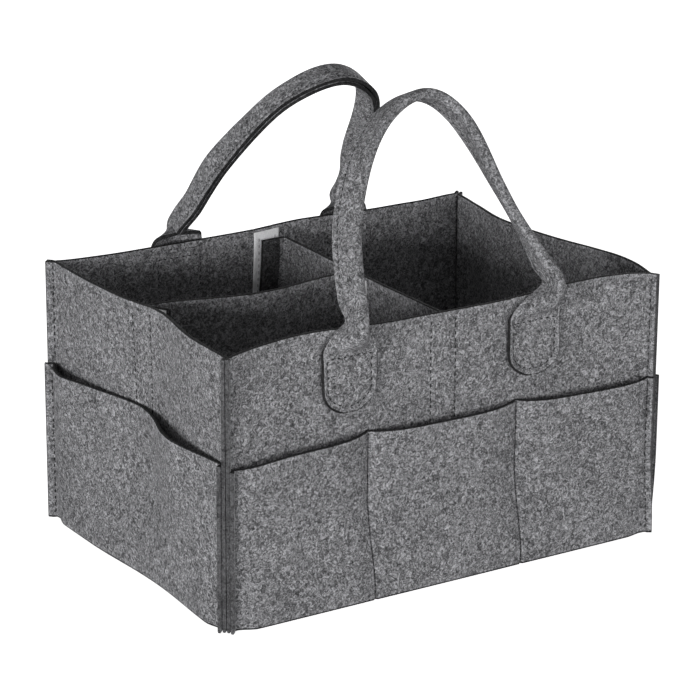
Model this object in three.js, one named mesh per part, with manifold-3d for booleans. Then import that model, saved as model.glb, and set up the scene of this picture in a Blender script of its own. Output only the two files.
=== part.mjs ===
// A felt caddy: a stiff open basket sewn from grey felt panels, with pockets all round the outside,
// two dividers held by hook-and-loop tape, and two carrying handles.
// Millimetres, +Z up. The origin is the middle of the base, X runs along the caddy and -Y is its front.

import * as THREE from "three";
import { mergeVertices } from "three/addons/utils/BufferGeometryUtils.js";
import Module from "manifold-3d";

const wasm = await Module();
wasm.setup();

// Overall sizes of the basket, measured over the corner seams.
const LENGTH = 335;
const WIDTH = 241;
const HEIGHT = 180;

// Materials and clearances.
const FELT = 2.5; // one layer of felt
const TAPE = 1.2; // one layer of hook or loop tape
const GAP = 0.3; // between pieces that touch
const SEAM = 7; // length of the corner fin, where the panels are pinched together

// Soft bow of the panels: straight at the base, drawn inwards from BOW_FULL up to the rim.
const BOW_START = 14;
const BOW_FULL = 70;
const BOW_STEPS = 3; // rows of facets between those two heights
const WALL_COLUMNS = 24; // facets along a panel, a multiple of every side's count of swells
const RIM_ROWS = 2; // rows of facets above the pockets

// Bottom panel, with its edges turned up inside the walls.
const BOTTOM_LIP = 9;

// Pockets sewn on the outside.
const POCKET_HEIGHT = 110;
const POCKET_FULLNESS = 4; // how squarely a pocket swells between its edges
const POCKET_RISE = 0.8; // how early it swells above the base: 1 is evenly, less is earlier

// Dividers: felt panels whose ends are folded over into flaps.
const DIVIDER_TOP = 174;
const FLAP = 20;
const FOLD_RADIUS = 3;
const CROSS_X = 8; // middle of the cross divider
const LONG_LEFT_Y = 16; // middle of the long divider at its left end
const LONG_RIGHT_Y = 10; // and at its right end
const LONG_SLACK = 12; // how far the long divider sags towards the front
const PEEL = 20; // degrees that the left flap of the long divider stands away from the wall
const FOLD_STEPS = 4;
const DIVIDER_STEPS = 14;

// Hook-and-loop tapes.
const LOOP_TOP = 178;
const LOOP_BOTTOM = 84;
const LOOP_WIDTH = 25;
const LOOP_SHOW = 2.5; // loop tape left bare past the free end of a flap
const LOOP_SHOW_FRONT = 0;
const LOOP_SHOW_BACK = 8.5;
const HOOK_INSET = 2; // hook tape set back from the flap's edges
const HOOK_BOTTOM = 90;
const TAPE_COLUMNS = 6;

// Handles: a felt strap between two rounded tabs.
const TAB_CENTRE = 70; // from the middle of the caddy
const TAB_WIDTH = 40;
const TAB_BOTTOM = 126;
const TAB_ROUND = 16; // height of the rounded lower end
const TAB_SHOULDER = 166; // where the sides begin to draw in
const TAB_CORNER = 5; // roundness of the shoulders
const TAB_TOP = 182;
const TAB_CURVE_STEPS = 10;
const NECK_WIDTH = 12;
const STRAP_WIDTH = 22;
const STRAP_THICKNESS = 6.5;
const NECK_RUN = 35; // length over which the strap opens out from its neck
const KNUCKLE = 5; // radius of the strap's end, about the line it bends on
const BEND_HEIGHT = 187; // height of that line
const BEND_STANDOFF = 3; // from the face of the tabs out to that line
const PLEAT_BOTTOM = 158; // where the tab begins to fold up towards the neck
const PLEAT_START_DEPTH = 0.8;
const PLEAT_DEPTH = 3;
const PLEAT_LIP = 1; // how far the pleat's top reaches past the bend line
const PLEAT_DROP = 3; // and how far below that line it ends
const STRAP_RINGS = 44;
const END_RINGS = 4; // rings round each end
const END_TURN = 82; // degrees of the round end that are kept, short of its tip
const STRAP_SIDES = 16;
const STRAP_SQUARENESS = 0.75; // 1 is an ellipse, less is squarer
const KNUCKLE_SIDES = 24;

// The four sides, each drawn as if it were the front and turned into place.
// bow is the inward draw at the rim, peak its place along the side and sharpness its shape.
// follow is the share of that bow that the pocket panel takes up, swells the number of times it stands
// out along the side and bulge by how much. The front and back have three pockets, with a swell each.
// Each end has one wide pocket, and the left one is pressed in at its middle, which gives it two swells.
const SIDES = [
  { name: "front", turn: 0, bow: 8, peak: 0, sharpness: 0.7, swells: 3, follow: 1, bulge: 7 },
  { name: "right", turn: 90, bow: 9, peak: 38, sharpness: 3, swells: 1, follow: 0.5, bulge: 4.5 },
  { name: "back", turn: 180, bow: 6, peak: 0, sharpness: 0.7, swells: 3, follow: 1, bulge: 6.5 },
  { name: "left", turn: -90, bow: 10, peak: 7, sharpness: 4, swells: 2, follow: 0.4, bulge: 3.5 },
];

// How each handle is sewn on and stands at rest: how much higher than the sizes above its tabs are,
// its rise, its lean over the basket, how pointed its arch is, and how the strap is tilted at the crown.
const HANDLES = {
  front: { lift: 0, rise: 131, lean: 21, point: 1.4, crownTilt: 10 },
  back: { lift: 8, rise: 141, lean: 38, point: 1.65, crownTilt: 4 },
};

const FELT_GREY = { color: 0x5a5b5d, roughness: 0.95, metalness: 0 };
const LOOP_GREY = { color: 0xc9cacb, roughness: 0.9, metalness: 0 };
const HOOK_GREY = { color: 0xb4b5b6, roughness: 0.7, metalness: 0 };

// Distances from the fin's middle plane, and from the inner corner lines, to each layer's faces.
const WALL_IN = GAP / 2;
const WALL_OUT = WALL_IN + FELT;
const POCKET_IN = WALL_OUT + GAP;
const POCKET_OUT = POCKET_IN + FELT;
const FIN_REACH = (SEAM + POCKET_OUT) * Math.SQRT1_2;
const INNER_X = LENGTH / 2 - FIN_REACH;
const INNER_Y = WIDTH / 2 - FIN_REACH;

for (const side of SIDES) {
  const crosswise = Math.abs(side.turn) === 90;
  side.half = crosswise ? INNER_Y : INNER_X;
  side.reach = crosswise ? INNER_X : INNER_Y;
}
const sideNamed = (name) => SIDES.find((side) => side.name === name);

const radians = THREE.MathUtils.degToRad;
const lerp = THREE.MathUtils.lerp;
const smooth = THREE.MathUtils.smoothstep;

// Heights of the rows of facets: the walls use all of them and the pockets those up to their mouth.
const LEVELS = [0];
for (let i = 0; i <= BOW_STEPS; i++) LEVELS.push(lerp(BOW_START, BOW_FULL, i / BOW_STEPS));
const POCKET_LEVELS = [...LEVELS, POCKET_HEIGHT];
for (let i = 0; i <= RIM_ROWS; i++) LEVELS.push(lerp(POCKET_HEIGHT, HEIGHT, i / RIM_ROWS));

// Geometry helpers.

function tidy(geometry) {
  const bare = geometry.clone();
  bare.deleteAttribute("normal");
  bare.deleteAttribute("uv");
  const merged = mergeVertices(bare, 1e-4);
  merged.computeVertexNormals();
  return merged;
}

function solid(geometry) {
  const merged = tidy(geometry);
  return new wasm.Manifold(
    new wasm.Mesh({
      numProp: 3,
      vertProperties: new Float32Array(merged.attributes.position.array),
      triVerts: new Uint32Array(merged.index.array),
    }),
  );
}

function fromSolid(body) {
  const { vertProperties, triVerts } = body.getMesh();
  const geometry = new THREE.BufferGeometry();
  geometry.setAttribute("position", new THREE.BufferAttribute(vertProperties, 3));
  geometry.setIndex(new THREE.BufferAttribute(triVerts, 1));
  geometry.computeVertexNormals();
  return geometry;
}

// A closed sheet of columns x rows facets on each face. place(column, row, outer) gives each corner.
function sheet(columns, rows, place) {
  const points = [];
  const faces = [];
  const index = (i, j, k) => (i * (rows + 1) + j) * 2 + k;
  const quad = (a, b, c, d) => faces.push(a, b, c, a, c, d);
  for (let i = 0; i <= columns; i++) {
    for (let j = 0; j <= rows; j++) {
      for (const outer of [0, 1]) points.push(place(i, j, outer));
    }
  }
  for (let i = 0; i < columns; i++) {
    for (let j = 0; j < rows; j++) {
      const corners = (k) => [index(i, j, k), index(i + 1, j, k), index(i + 1, j + 1, k), index(i, j + 1, k)];
      const [a, b, c, d] = corners(0);
      faces.push(a, c, b, a, d, c);
      quad(...corners(1));
    }
    quad(index(i, 0, 0), index(i + 1, 0, 0), index(i + 1, 0, 1), index(i, 0, 1));
    quad(index(i, rows, 1), index(i + 1, rows, 1), index(i + 1, rows, 0), index(i, rows, 0));
  }
  for (let j = 0; j < rows; j++) {
    quad(index(0, j, 0), index(0, j, 1), index(0, j + 1, 1), index(0, j + 1, 0));
    quad(index(columns, j, 1), index(columns, j, 0), index(columns, j + 1, 0), index(columns, j + 1, 1));
  }
  const geometry = new THREE.BufferGeometry().setFromPoints(points);
  geometry.setIndex(faces);
  return tidy(geometry);
}

// A strip of felt standing on edge: a plan path given a thickness and raised from bottom to top.
function standingStrip(path, bottom, top) {
  const along = path.map((point, i) => {
    const before = path[Math.max(i - 1, 0)];
    const after = path[Math.min(i + 1, path.length - 1)];
    return after.clone().sub(before).normalize();
  });
  const edge = (offset) =>
    path.map((point, i) => new THREE.Vector2(point.x + along[i].y * offset, point.y - along[i].x * offset));
  const outline = [...edge(FELT / 2), ...edge(-FELT / 2).reverse()];
  const geometry = new THREE.ExtrudeGeometry(new THREE.Shape(outline), {
    depth: top - bottom,
    bevelEnabled: false,
  });
  return tidy(geometry.translate(0, 0, bottom));
}

function mesh(name, geometry, look) {
  const made = new THREE.Mesh(geometry, new THREE.MeshStandardMaterial(look));
  made.name = name;
  return made;
}

// The bow of a side, at a share of its length from -1 to 1.
function bowShape(side, share) {
  const peak = side.peak / side.half;
  const away = share > peak ? (share - peak) / (1 - peak) : (peak - share) / (1 + peak);
  return side.bow * Math.pow(Math.max(Math.cos((away * Math.PI) / 2), 0), side.sharpness);
}

// The same bow read off the flat facets of the panel, so that neighbours lie on them.
function bowOnFacets(side, share) {
  const column = ((share + 1) / 2) * WALL_COLUMNS;
  const first = Math.min(Math.floor(column), WALL_COLUMNS - 1);
  const shareAt = (i) => (2 * i) / WALL_COLUMNS - 1;
  return lerp(bowShape(side, shareAt(first)), bowShape(side, shareAt(first + 1)), column - first);
}

const bowAtHeight = (z) => smooth(z, BOW_START, BOW_FULL);

// Half the length of a side between its corner bends, on a face at a given layer distance.
const bendAt = (side, layer) => side.half - (Math.SQRT2 - 1) * layer;

// The most that a side is bowed between two places along it.
function mostBow(side, from, to) {
  const places = Array.from({ length: TAPE_COLUMNS + 1 }, (_, i) => lerp(from, to, i / TAPE_COLUMNS));
  return Math.max(...places.map((x) => bowOnFacets(side, x / bendAt(side, WALL_IN))));
}

// A panel of one side: its middle, bowed and bulged, and a 45 degree flange at each corner.
function sidePanel(side, layerIn, layerOut, levels, follow, bulge) {
  const last = WALL_COLUMNS + 2;
  return sheet(last, levels.length - 1, (i, j, outer) => {
    const layer = outer ? layerOut : layerIn;
    const z = levels[j];
    if (i === 0 || i === last) {
      const along = side.half + (SEAM - layer) * Math.SQRT1_2;
      return new THREE.Vector3(i ? along : -along, -side.reach - (SEAM + layer) * Math.SQRT1_2, z);
    }
    const share = (2 * (i - 1)) / WALL_COLUMNS - 1;
    const inward = follow * bowShape(side, share) * bowAtHeight(z) - bulge(i - 1, z);
    return new THREE.Vector3(share * bendAt(side, layer), inward - side.reach - layer, z);
  });
}

const wall = (side) => sidePanel(side, WALL_IN, WALL_OUT, LEVELS, 1, () => 0);

// A pocket panel swells away from the wall, and most at its mouth.
function pocketPanel(side) {
  const columns = WALL_COLUMNS / side.swells;
  return sidePanel(side, POCKET_IN, POCKET_OUT, POCKET_LEVELS, side.follow, (column, z) => {
    const across = (2 * (column % columns)) / columns - 1;
    const swell = 1 - Math.pow(Math.abs(across), POCKET_FULLNESS);
    return side.bulge * swell * Math.pow(z / POCKET_HEIGHT, POCKET_RISE);
  });
}

// A tray that fits inside the walls, its turned-up edge standing against them.
function bottomPanel() {
  const length = 2 * (INNER_X + WALL_IN - GAP);
  const width = 2 * (INNER_Y + WALL_IN - GAP);
  const block = new THREE.BoxGeometry(length, width, BOTTOM_LIP).translate(0, 0, BOTTOM_LIP / 2);
  const hollow = new THREE.BoxGeometry(length - 2 * FELT, width - 2 * FELT, BOTTOM_LIP);
  hollow.translate(0, 0, BOTTOM_LIP / 2 + FELT);
  return fromSolid(solid(block).subtract(solid(hollow)));
}

// Loop tape on the inner face of a side, from one place along it to another.
function wallTape(side, from, to) {
  const levels = [LOOP_BOTTOM, LOOP_TOP];
  return sheet(TAPE_COLUMNS, levels.length - 1, (i, j, outer) => {
    const x = lerp(from, to, i / TAPE_COLUMNS);
    const inward = bowOnFacets(side, x / bendAt(side, WALL_IN)) + GAP + (outer ? 0 : TAPE);
    return new THREE.Vector3(x, inward - side.reach - WALL_IN, levels[j]);
  });
}

// Where the felt of a flap lies, inside the wall and both tapes, between two places along a side.
function flapFace(side, from, to) {
  const face = side.reach + WALL_IN - mostBow(side, from, to);
  return face - 3 * GAP - 2 * TAPE;
}

const front = sideNamed("front");
const back = sideNamed("back");
const left = sideNamed("left");

// The dividers' flaps: the cross divider's reach towards -X and the long divider's towards -Y.
const CROSS_LEFT = CROSS_X - FELT / 2;
const CROSS_RIGHT = CROSS_X + FELT / 2;

// Where each loop tape begins and ends, given the face of the divider that its flap is folded from.
function loopTape(face, show) {
  const from = face - FLAP - show;
  return [from, from + LOOP_WIDTH];
}

const mirrored = ([from, to]) => [-to, -from];
const FRONT_TAPE = loopTape(CROSS_RIGHT, LOOP_SHOW_FRONT);
const BACK_TAPE = mirrored(loopTape(CROSS_RIGHT, LOOP_SHOW_BACK));
const LEFT_TAPE = mirrored(loopTape(LONG_LEFT_Y + FELT / 2, LOOP_SHOW));
const CROSS_TAPE = loopTape(LONG_RIGHT_Y + FELT / 2, LOOP_SHOW);

// Outer faces of the flaps.
const CROSS_FRONT = -flapFace(front, ...FRONT_TAPE);
const CROSS_BACK = flapFace(back, ...BACK_TAPE);
const LONG_LEFT = -flapFace(left, ...LEFT_TAPE);
const LONG_RIGHT = CROSS_LEFT - 3 * GAP - 2 * TAPE;
const DIVIDER_BOTTOM = FELT + GAP;

// The straight part of a flap, from its fold to its free end.
const FLAP_RUN = FLAP - FELT / 2 - FOLD_RADIUS;

// Plan of a divider along +X from the outer face of one flap to that of the other, flaps towards -Y.
// It drifts to -Y by shift from end to end and sags by slack, and its first flap is peeled by an angle.
function dividerPath({ span, slack, shift, peel }) {
  const near = new THREE.Vector2(FELT / 2, -FOLD_RADIUS);
  const far = new THREE.Vector2(span - FELT / 2, -FOLD_RADIUS - shift);
  const freeEnd = new THREE.Vector2(0, -FLAP_RUN);
  const path = [freeEnd.clone().rotateAround(new THREE.Vector2(), peel).add(near)];
  const addFold = (x, y, from, to) => {
    for (let i = 0; i <= FOLD_STEPS; i++) {
      const angle = lerp(from, to, i / FOLD_STEPS);
      path.push(new THREE.Vector2(x + FOLD_RADIUS * Math.cos(angle), y + FOLD_RADIUS * Math.sin(angle)));
    }
  };
  const first = near.x + FOLD_RADIUS;
  const last = far.x - FOLD_RADIUS;
  addFold(first, near.y, Math.PI, Math.PI / 2);
  for (let i = 1; i < DIVIDER_STEPS; i++) {
    const share = i / DIVIDER_STEPS;
    const aside = -shift * share - slack * Math.sin(share * Math.PI) ** 2;
    path.push(new THREE.Vector2(lerp(first, last, share), aside));
  }
  addFold(last, far.y, Math.PI / 2, 0);
  path.push(freeEnd.clone().add(far));
  return path;
}

// Hook tape on the outer face of a flap, on its -X or +X side. The flap hangs from x, y at its fold.
function hookTape(x, y, outward, peel) {
  const width = FLAP_RUN - HOOK_INSET;
  const top = DIVIDER_TOP - HOOK_INSET;
  const tape = new THREE.BoxGeometry(TAPE, width, top - HOOK_BOTTOM);
  tape.translate(outward * (FELT / 2 + GAP + TAPE / 2), -width / 2, (top + HOOK_BOTTOM) / 2);
  return tidy(tape.rotateZ(peel).translate(x, y, 0));
}

// A divider with its two hook tapes, in its own group.
function divider(name, plan, ends) {
  const group = new THREE.Group();
  const panel = standingStrip(dividerPath(plan), DIVIDER_BOTTOM, DIVIDER_TOP);
  const nearTape = hookTape(FELT / 2, -FOLD_RADIUS, -1, plan.peel);
  const farTape = hookTape(plan.span - FELT / 2, -FOLD_RADIUS - plan.shift, 1, 0);
  group.add(mesh(name, panel, FELT_GREY));
  group.add(mesh(`${name}_${ends[0]}_hook_tape`, nearTape, HOOK_GREY));
  group.add(mesh(`${name}_${ends[1]}_hook_tape`, farTape, HOOK_GREY));
  return group;
}

// Loop tape on the left face of the cross divider, where the long divider is stuck on.
function crossDividerTape() {
  const top = DIVIDER_TOP - HOOK_INSET;
  const [from, to] = CROSS_TAPE;
  const tape = new THREE.BoxGeometry(TAPE, to - from, top - LOOP_BOTTOM);
  return tidy(tape.translate(CROSS_LEFT - GAP - TAPE / 2, (from + to) / 2, (top + LOOP_BOTTOM) / 2));
}

// Distance out to the back of a handle tab, lying on the wall at x.
function tabBack(side, x) {
  return side.reach + WALL_OUT - bowOnFacets(side, x / bendAt(side, WALL_OUT)) + GAP;
}

// Distance out to the line that a handle bends on.
function bendLine(side) {
  return Math.max(tabBack(side, -TAB_CENTRE), tabBack(side, TAB_CENTRE)) + FELT + BEND_STANDOFF;
}

function tabOutline() {
  const half = TAB_WIDTH / 2;
  const neck = NECK_WIDTH / 2;
  const shape = new THREE.Shape();
  shape.absellipse(0, TAB_BOTTOM + TAB_ROUND, half, TAB_ROUND, Math.PI, 2 * Math.PI, false);
  shape.lineTo(half, TAB_SHOULDER);
  shape.quadraticCurveTo(half, TAB_SHOULDER + TAB_CORNER, neck, TAB_TOP);
  shape.lineTo(-neck, TAB_TOP);
  shape.quadraticCurveTo(-half, TAB_SHOULDER + TAB_CORNER, -half, TAB_SHOULDER);
  return shape;
}

// A tab lies on its wall, and a pleat rises from its face up to the seat of the strap.
function handleTab(side, x) {
  const { lift } = HANDLES[side.name];
  const plate = new THREE.ExtrudeGeometry(tabOutline(), {
    depth: FELT,
    bevelEnabled: false,
    curveSegments: TAB_CURVE_STEPS,
  });
  plate.rotateX(Math.PI / 2);
  const spot = plate.attributes.position;
  for (let i = 0; i < spot.count; i++) {
    const along = spot.getX(i) + x;
    spot.setXYZ(i, along, spot.getY(i) - tabBack(side, along), spot.getZ(i) + lift);
  }

  const foot = tabBack(side, x) + FELT / 2;
  const head = bendLine(side) + PLEAT_LIP - PLEAT_DEPTH;
  const bottom = PLEAT_BOTTOM + lift;
  const top = BEND_HEIGHT + lift - PLEAT_DROP;
  const pleat = new THREE.CylinderGeometry(1, 1, 1, STRAP_SIDES, 1);
  const point = pleat.attributes.position;
  for (let i = 0; i < point.count; i++) {
    const rise = point.getY(i) + 0.5;
    const across = point.getX(i) * lerp(NECK_WIDTH / 4, NECK_WIDTH / 2, rise);
    const depth = point.getZ(i) * lerp(PLEAT_START_DEPTH, PLEAT_DEPTH, rise);
    point.setXYZ(i, x + across, -lerp(foot, head, rise) - depth, lerp(bottom, top, rise));
  }

  const seat = new THREE.CylinderGeometry(KNUCKLE + GAP, KNUCKLE + GAP, 2 * TAB_WIDTH, KNUCKLE_SIDES);
  seat.rotateZ(Math.PI / 2).translate(x, -bendLine(side), BEND_HEIGHT + lift);
  return fromSolid(solid(plate).add(solid(pleat)).subtract(solid(seat)));
}

// The middle line of a handle's strap, from one bend to the other.
class Arch extends THREE.Curve {
  constructor(side, handle) {
    super();
    this.out = bendLine(side);
    this.handle = handle;
    this.arcLengthDivisions = 10 * STRAP_RINGS;
  }

  getPoint(t, target = new THREE.Vector3()) {
    const angle = t * Math.PI;
    const { lift, rise, lean, point } = this.handle;
    const up = rise * Math.pow(Math.max(Math.sin(angle), 0), point);
    const inward = up * Math.sin(radians(lean));
    return target.set(
      -TAB_CENTRE * Math.cos(angle),
      inward - this.out,
      BEND_HEIGHT + lift + up * Math.cos(radians(lean)),
    );
  }
}

// A soft folded strap: a rounded flat section swept along the arch, narrowing to a round end at each neck.
// It leaves each neck square to the line that it bends on.
function handleStrap(side, handle) {
  const arch = new Arch(side, handle);
  const length = arch.getLength();
  const rising = new THREE.Vector3(0, Math.sin(radians(handle.lean)), Math.cos(radians(handle.lean)));
  const strap = new THREE.CylinderGeometry(1, 1, 1, STRAP_SIDES, STRAP_RINGS + 2 * END_RINGS);
  const point = strap.attributes.position;
  const rounded = (value) => Math.sign(value) * Math.pow(Math.abs(value), STRAP_SQUARENESS);
  for (let i = 0; i < point.count; i++) {
    const ring = Math.round((point.getY(i) + 0.5) * (STRAP_RINGS + 2 * END_RINGS)) - END_RINGS;
    const share = THREE.MathUtils.clamp(ring / STRAP_RINGS, 0, 1);
    const past = Math.max(-ring, ring - STRAP_RINGS, 0) / END_RINGS;
    const turn = past * radians(END_TURN);
    const open = smooth(Math.min(share, 1 - share) * length, 0, NECK_RUN);
    const thick = lerp(NECK_WIDTH, STRAP_THICKNESS, open) / 2;
    const wide = lerp(KNUCKLE, STRAP_WIDTH / 2, open) * Math.cos(turn);
    const tilt = radians(lerp(handle.lean, handle.crownTilt, Math.sin(share * Math.PI) ** 2));
    const face = new THREE.Vector3(0, Math.cos(tilt), -Math.sin(tilt));
    const square = rising.clone().multiplyScalar(Math.sign(0.5 - share));
    const tangent = square.lerp(arch.getTangentAt(share), open).normalize();
    const normal = tangent.clone().cross(face).normalize();
    const place = arch.getPointAt(share);
    place.addScaledVector(tangent, Math.sign(share - 0.5) * KNUCKLE * Math.sin(turn));
    place.addScaledVector(normal, rounded(point.getX(i)) * thick);
    place.addScaledVector(face, rounded(point.getZ(i)) * wide);
    point.setXYZ(i, place.x, place.y, place.z);
  }
  return tidy(strap);
}

// The assembly.

const caddy = new THREE.Group();
caddy.name = "felt_caddy";
caddy.add(mesh("bottom_panel", bottomPanel(), FELT_GREY));

for (const side of SIDES) {
  side.group = new THREE.Group();
  side.group.rotation.z = radians(side.turn);
  side.group.add(mesh(`${side.name}_wall`, wall(side), FELT_GREY));
  side.group.add(mesh(`${side.name}_pocket`, pocketPanel(side), FELT_GREY));
  caddy.add(side.group);
}

for (const [side, tapes] of [
  [front, FRONT_TAPE],
  [back, BACK_TAPE],
  [left, LEFT_TAPE],
]) {
  side.group.add(mesh(`${side.name}_wall_loop_tape`, wallTape(side, ...tapes), LOOP_GREY));
}

// The back is the front turned round, so its local +X side is the caddy's left.
for (const side of [front, back]) {
  const leftward = side === front ? -1 : 1;
  const name = `${side.name}_handle`;
  side.group.add(mesh(`${name}_left_tab`, handleTab(side, leftward * TAB_CENTRE), FELT_GREY));
  side.group.add(mesh(`${name}_right_tab`, handleTab(side, -leftward * TAB_CENTRE), FELT_GREY));
  side.group.add(mesh(`${name}_strap`, handleStrap(side, HANDLES[side.name]), FELT_GREY));
}

const CROSS_PLAN = { span: CROSS_BACK - CROSS_FRONT, slack: 0, shift: 0, peel: 0 };
const crossDivider = divider("cross_divider", CROSS_PLAN, ["back", "front"]);
crossDivider.rotation.z = -Math.PI / 2;
crossDivider.position.set(CROSS_X, CROSS_BACK, 0);
caddy.add(crossDivider);
caddy.add(mesh("cross_divider_loop_tape", crossDividerTape(), LOOP_GREY));

const LONG_PLAN = {
  span: LONG_RIGHT - LONG_LEFT,
  slack: LONG_SLACK,
  shift: LONG_LEFT_Y - LONG_RIGHT_Y,
  peel: radians(PEEL),
};
const longDivider = divider("long_divider", LONG_PLAN, ["left", "right"]);
longDivider.position.set(LONG_LEFT, LONG_LEFT_Y, 0);
caddy.add(longDivider);

export default caddy;
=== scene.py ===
"""Looks of a felt caddy: sewn grey felt panels, pockets, folded handles, dividers and hook-and-loop tape.

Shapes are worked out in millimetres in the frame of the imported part, and scaled to metres at the end.
"""

import math

import bpy
import numpy as np
from mathutils import Matrix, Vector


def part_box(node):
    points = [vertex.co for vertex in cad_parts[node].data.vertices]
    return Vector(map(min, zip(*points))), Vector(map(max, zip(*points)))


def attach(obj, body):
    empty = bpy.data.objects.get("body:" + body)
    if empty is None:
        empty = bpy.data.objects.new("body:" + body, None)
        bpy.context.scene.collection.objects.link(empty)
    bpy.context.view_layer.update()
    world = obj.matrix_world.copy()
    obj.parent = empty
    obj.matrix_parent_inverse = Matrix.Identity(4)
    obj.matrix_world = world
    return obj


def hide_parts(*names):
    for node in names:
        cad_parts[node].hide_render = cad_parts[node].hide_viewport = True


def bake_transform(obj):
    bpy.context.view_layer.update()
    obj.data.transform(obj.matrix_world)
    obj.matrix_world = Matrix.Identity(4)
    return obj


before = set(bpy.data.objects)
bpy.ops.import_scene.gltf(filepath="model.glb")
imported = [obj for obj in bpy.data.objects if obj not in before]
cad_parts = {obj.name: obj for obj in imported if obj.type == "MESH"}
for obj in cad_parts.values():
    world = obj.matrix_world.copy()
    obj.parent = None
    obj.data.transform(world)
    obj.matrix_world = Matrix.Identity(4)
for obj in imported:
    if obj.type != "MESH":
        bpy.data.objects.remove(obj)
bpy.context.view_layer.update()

MM = 0.001

# Sizes of the basket, as in the part. POCKET_SEAM_EXTRA makes the pockets' corner seams a little longer.
LENGTH, WIDTH, HEIGHT = 335.0, 241.0, 180.0
FELT = 2.5
TAPE = 1.2
GAP = 0.3
SEAM = 7.0
POCKET_SEAM_EXTRA = 1.4
BOW_START, BOW_FULL = 14.0, 70.0
POCKET_HEIGHT = 110.0
POCKET_FULLNESS = 4
POCKET_RISE = 0.8
HALF_FELT = FELT / 2
WALL_IN = GAP / 2
WALL_MID = WALL_IN + HALF_FELT
WALL_OUT = WALL_IN + FELT
POCKET_MID = WALL_OUT + GAP + HALF_FELT
POCKET_OUT = WALL_OUT + GAP + FELT
FIN_REACH = (SEAM + POCKET_OUT) * math.sqrt(0.5)
INNER_X = LENGTH / 2 - FIN_REACH
INNER_Y = WIDTH / 2 - FIN_REACH
MITRE = math.sqrt(2) - 1  # a layer's corner bend moves this far along its side per millimetre outwards

# The four sides, each drawn as the front and turned into place about Z. bow, peak and sharpness shape the
# inward draw at the rim, sag its dip, foot the inward draw of the lower edge, and flare its push outwards
# towards each end. fins turns the seam at each end, at its foot and above, in degrees, and longer lengthens
# it. rim gives the chance waves of the top edge, as (place, inward, upward), and mouth those of the pocket,
# as (place, upward).
LEVEL = [(-160, 0), (160, 0)]
STRAIGHT_FINS = ((0, 0), (0, 0))
SIDES = {
    "front": dict(
        turn=0, half=INNER_X, reach=INNER_Y, bow=8, peak=0, sharpness=0.7, sag=0.6,
        foot=0, flare=(5, 2), fins=((0, 0), (12, -12)), longer=(0, 0),
        mouth=[(-160, -4.2), (-150, -3.2), (-140, -1.8), (-125, -0.3), (-110, 0), (160, 0)],
        rim=[(-158, 0, -1.5), (-150, 0.4, -0.6), (-140, 1.2, 0.4), (-112, 2.8, 1.7),
             (-92, 3, 1.6), (-70, 1.5, 0.8), (-40, 0, -0.6), (0, 0, -0.9), (40, 0, -0.9),
             (65, 1, 0), (100, 3.5, 1.9), (125, 4, 2.5), (145, 2.8, 2.3), (158, 0, 1.2)]),
    "right": dict(
        turn=90, half=INNER_Y, reach=INNER_X, bow=9, peak=38, sharpness=3, sag=0.4,
        foot=0, flare=(0, 0), fins=((12, -12), (0, 0)), longer=(0, 0), mouth=LEVEL,
        rim=[(-112, 0, 0.3), (-100, -2.6, 1), (-91, -4.2, 1.3), (-77, -4.7, 1.7),
             (-65, -4.5, 1.6), (-54, -4, 1.2), (-43, -3.4, 1), (-27, -2.2, 0.5),
             (-11, -1.2, 0.2), (10, -0.3, 0), (38, 0.4, 0), (70, 1.4, -0.4),
             (89, 1.8, -0.5), (99, 1, -0.3), (112, 0, 0)]),
    "back": dict(
        turn=180, half=INNER_X, reach=INNER_Y, bow=6, peak=0, sharpness=0.7, sag=0.3,
        foot=0, flare=(0, 0), fins=STRAIGHT_FINS, longer=(0, 1.2), mouth=LEVEL,
        rim=[(-158, 0, 0.6), (-150, -0.8, 0.7), (-130, -0.4, 0.2), (-110, -1, 0.5),
             (-87, -1.4, 0.6), (-50, -3, 1.6), (-25, -3.4, 1.9), (-6, -1.6, 1.6),
             (10, -0.8, 0.8), (23, -0.8, 0.6), (60, -0.4, 0.3), (115, 0.5, -0.3),
             (150, 0.4, -0.2), (158, 0, 0)]),
    "left": dict(
        turn=-90, half=INNER_Y, reach=INNER_X, bow=10, peak=7, sharpness=4, sag=0.3,
        foot=4, flare=(3.2, 3.4), fins=STRAIGHT_FINS, longer=(1.2, 0), mouth=LEVEL,
        rim=[(-112, 0, 0), (-80, -0.5, -0.3), (-50, -1.2, -1), (-35, -1.8, -1.6),
             (-21, -2.2, -2), (-5, -1.6, -1.5), (8, -1, -1), (20, -0.8, -0.7),
             (75, -0.6, -0.8), (100, -0.4, -1), (112, 0, -1.6)]),
}
RIM_START = 110.0  # height where the rim's waves begin
FOOT_PLACE, FOOT_HALF, FOOT_TOP = 25.0, 85.0, 75.0
FLARE_TOP = 45.0
FLARE_ENDS = (2.0, 16.0)  # distances from the corner between which the flare grows
FIN_TURN_TOP = 60.0
FIN_TURN_ENDS = (1.0, 4.5)  # distances along a fin between which its turn grows
# Height of the lowest band of each wall and pocket, which takes the near-black cut-edge felt as a painted
# contact shadow.
FOOT_SHADE_BAND = 1.3
MOUTH_START = 60.0  # height where the waves of a pocket's mouth begin
MOUTH_DIP, SEAM_LIFT = 0.8, 1.6  # the mouth dips between the pocket seams and is held up at them

# Slight ripples of a standing panel: their height, and their pace along and up the panel.
BROAD_RIPPLE, BROAD_ALONG, BROAD_UP = 0.28, 33.0, 27.0
FINE_RIPPLE, FINE_ALONG, FINE_UP = 0.16, 15.0, 38.0

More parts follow.
